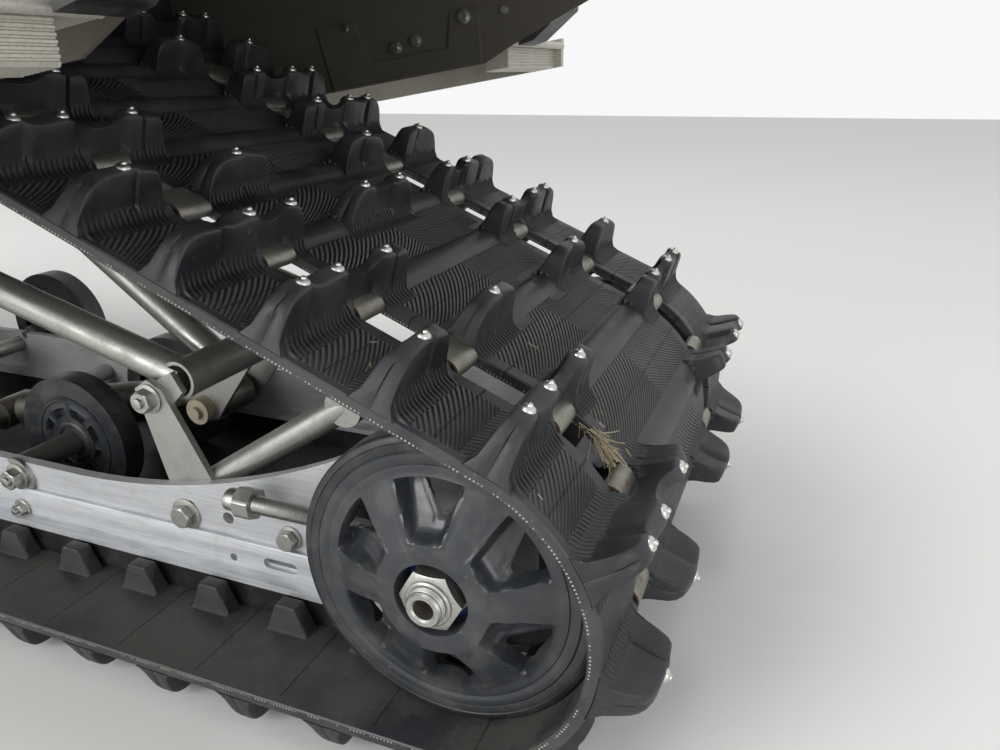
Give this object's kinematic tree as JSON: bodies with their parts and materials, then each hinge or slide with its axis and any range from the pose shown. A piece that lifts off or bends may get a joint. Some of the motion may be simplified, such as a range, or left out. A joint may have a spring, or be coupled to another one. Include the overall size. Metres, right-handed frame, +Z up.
{
  "type": "snowmobile track and rear suspension module",
  "caption": "Snowmobile rear module: tunnel, studded paddle track on slide rails, arms, shocks and idler wheels.",
  "frame": {"origin": "on the floor under the middle of the module's bounding box", "axes": "+X forward along the track, +Y to the vehicle's left, +Z up"},
  "size_m": [1.7154, 0.783, 0.558],
  "materials": {
    "board_alloy": "cast and extruded aluminium, dull white",
    "bumper_alloy": "silver tube",
    "bushing_cream": "cream plastic bushing",
    "cap_plastic": "black moulded plastic",
    "clip_steel": "zinc plated, rusty at the edges",
    "dark_steel": "dark painted steel",
    "rail_alloy": "satin extruded aluminium",
    "seal_blue": "blue bearing seal",
    "shock_grey": "dull aluminium body",
    "silver_paint": "silver paint with specks of rust",
    "slide_plastic": "black low-friction plastic",
    "spring_steel": "black coated spring",
    "track_rubber": "moulded black rubber with fine ridges",
    "tunnel_paint": "brown grey coated aluminium",
    "tyre_rubber": "black rubber ring",
    "wheel_nylon": "moulded black nylon",
    "zinc_steel": "zinc plated steel"
  },
  "bodies": {
    "frame": {"adjuster_left": "zinc_steel", "adjuster_right": "zinc_steel", "arm_bracket_left": "dark_steel", "arm_bracket_right": "dark_steel", "axle_nuts": "zinc_steel", "axle_spacers": "dark_steel", "board_bar_left": "board_alloy", "board_bar_right": "board_alloy", "board_left": "board_alloy", "board_right": "board_alloy", "bogie_stubs": "dark_steel", "bogie_tyres": "tyre_rubber", "bogie_wheels": "wheel_nylon", "bulkhead": "tunnel_paint", "carrier_shaft": "zinc_steel", "carrier_tyres": "tyre_rubber", "carrier_wheels": "wheel_nylon", "cooler": "rail_alloy", "cross_shafts": "zinc_steel", "drive_shaft": "zinc_steel", "driver_left": "slide_plastic", "driver_right": "slide_plastic", "end_cap_left": "cap_plastic", "end_cap_right": "cap_plastic", "front_arm": "silver_paint", "front_shock": "shock_grey", "front_spring": "spring_steel", "inner_stubs": "dark_steel", "inner_tyres": "tyre_rubber", "inner_wheels": "wheel_nylon", "pivot_shafts": "zinc_steel", "rail_left": "rail_alloy", "rail_plates": "zinc_steel", "rail_right": "rail_alloy", "rear_arm": "silver_paint", "rear_axle": "zinc_steel", "rear_bumper": "bumper_alloy", "rear_link_left": "silver_paint", "rear_link_right": "silver_paint", "rear_shock": "shock_grey", "shaft_bearing_left": "zinc_steel", "shaft_bearing_right": "zinc_steel", "shock_pin": "bushing_cream", "side_plate_left": "tunnel_paint", "side_plate_right": "tunnel_paint", "slide_left": "slide_plastic", "slide_right": "slide_plastic", "stop_tube": "dark_steel", "track": "track_rubber", "track_clips": "clip_steel", "tunnel": "tunnel_paint"},
    "rear_wheels": {"rear_bearing_left": "seal_blue", "rear_bearing_right": "seal_blue", "rear_tyre_left": "tyre_rubber", "rear_tyre_right": "tyre_rubber", "rear_wheel_left": "wheel_nylon", "rear_wheel_right": "wheel_nylon"}
  },
  "joints": [
    {"name": "rear_wheels_spin", "type": "hinge", "parent": "frame", "child": "rear_wheels", "pos_m": [-0.69671, 0, 0.12805], "axis": [0, 1, 0], "continuous": true}
  ]
}
